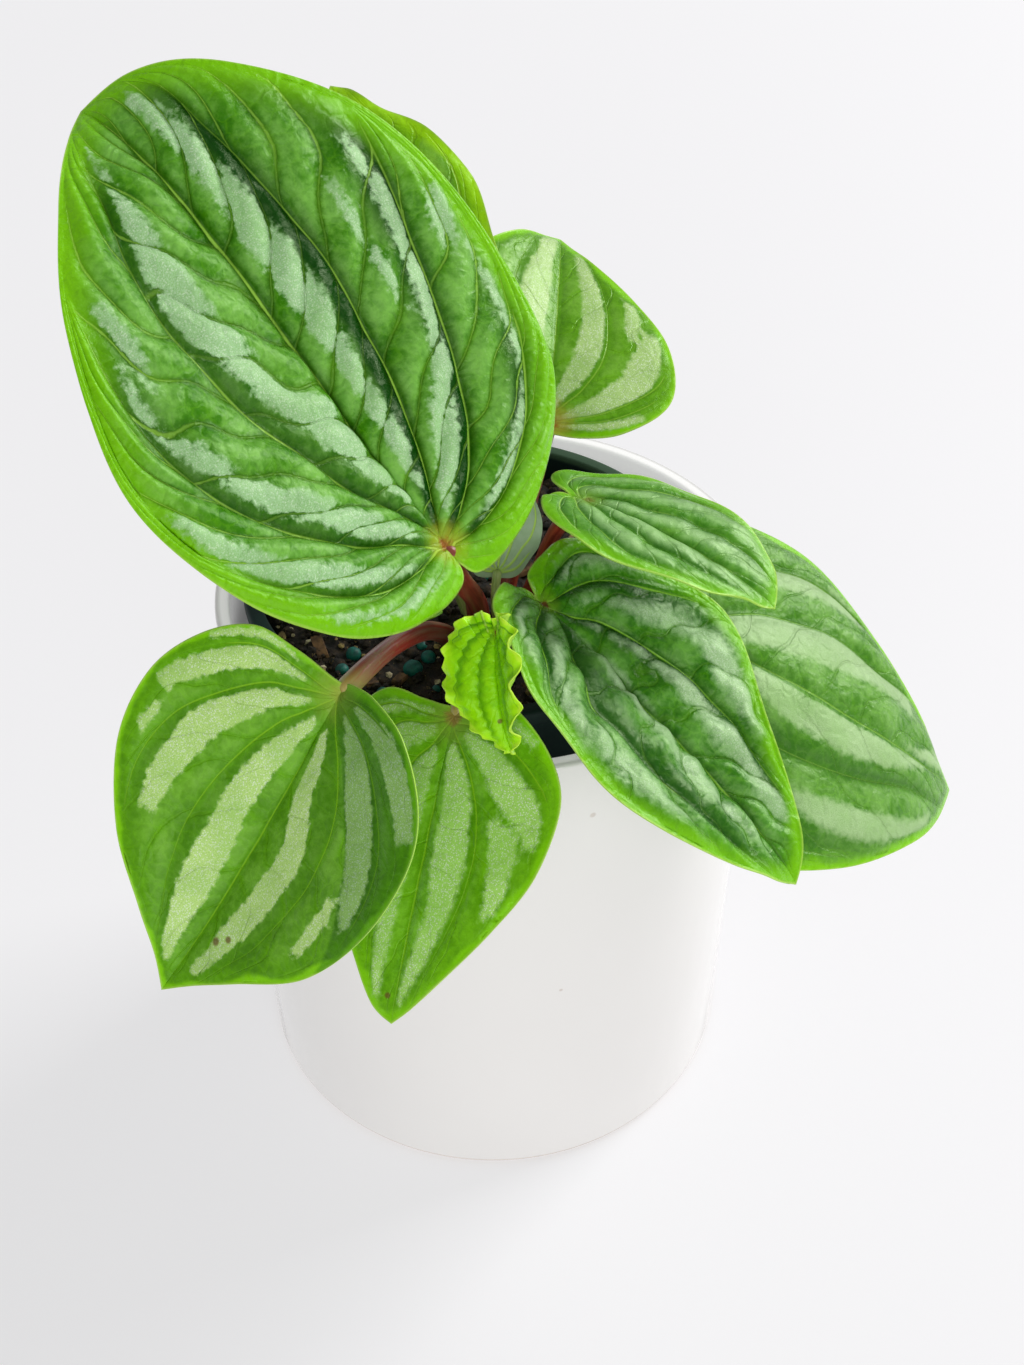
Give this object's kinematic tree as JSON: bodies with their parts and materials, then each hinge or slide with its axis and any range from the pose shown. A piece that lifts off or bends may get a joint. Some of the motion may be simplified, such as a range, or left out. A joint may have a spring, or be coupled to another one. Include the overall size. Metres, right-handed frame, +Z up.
{
  "type": "potted peperomia",
  "caption": "Heart-leaved peperomia with silver-banded leaves on red stalks, in a plastic grow pot standing inside a round white glazed cachepot.",
  "frame": {"origin": "centre of the cachepot's flat underside, where it stands", "axes": "+Z up along the cachepot's axis, +X to the right and +Y to the back as the plant is seen from the front"},
  "size_m": [0.1779, 0.1799, 0.2611],
  "materials": {
    "ceramic": "white glazed ceramic, glossy",
    "grow_pot": "dark green-black moulded plastic",
    "soil": "loose dark potting mix",
    "crown": "brown stem base and roots",
    "leaf": "green blade with silver bands between the veins, waxy gloss",
    "fresh_leaf": "bright lime young blade, waxy gloss",
    "pale_leaf": "pale grey-green underside",
    "red_stalk": "smooth red-brown stalk",
    "pale_stalk": "smooth pale green stalk"
  },
  "bodies": {
    "root": {"cachepot": "ceramic", "grow_pot": "grow_pot", "soil": "soil", "crown": "crown", "sprout": "fresh_leaf", "leaf_A": "leaf", "leaf_B": "fresh_leaf", "leaf_C": "leaf", "leaf_D": "leaf", "leaf_E": "leaf", "leaf_F": "leaf", "leaf_G": "fresh_leaf", "leaf_H": "leaf", "leaf_I": "leaf", "leaf_J": "pale_leaf", "stalk_A": "red_stalk", "stalk_B": "pale_stalk", "stalk_C": "red_stalk", "stalk_D": "red_stalk", "stalk_E": "red_stalk", "stalk_F": "red_stalk", "stalk_G": "pale_stalk", "stalk_H": "red_stalk", "stalk_I": "red_stalk", "stalk_J": "pale_stalk"}
  },
  "joints": []
}
